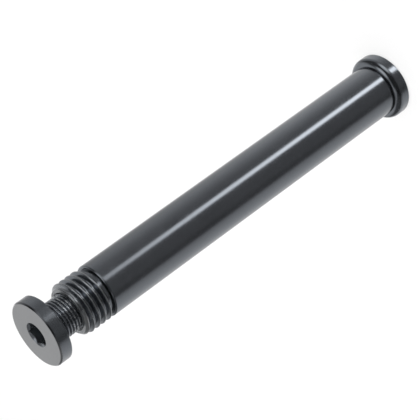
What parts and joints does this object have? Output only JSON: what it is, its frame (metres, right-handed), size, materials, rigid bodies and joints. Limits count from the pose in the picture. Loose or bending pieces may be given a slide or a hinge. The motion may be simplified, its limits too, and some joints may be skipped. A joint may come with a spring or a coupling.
{
  "type": "bicycle thru axle",
  "caption": "Hollow bicycle thru axle with a flange at one end, a coarse thread at the other, and a flat-headed lock bolt with a hex socket screwed into the threaded end.",
  "frame": {"origin": "on the axle's axis, at the flange's end face, where the axle stands", "axes": "+Z along the axle, from the flange to the lock bolt; -Y is the side the picture shows"},
  "size_m": [0.025, 0.025, 0.1731],
  "materials": {
    "axle_tube": "black anodised, glossy",
    "lock_bolt": "black anodised, satin, with a grey blasted face"
  },
  "bodies": {
    "axle": {"axle_tube": "axle_tube"},
    "bolt": {"lock_bolt": "lock_bolt"}
  },
  "joints": [
    {"name": "bolt_travel", "type": "slide", "parent": "axle", "child": "bolt", "axis": [0, 0, 1], "range_m": [-0.009, 0.09]}
  ]
}
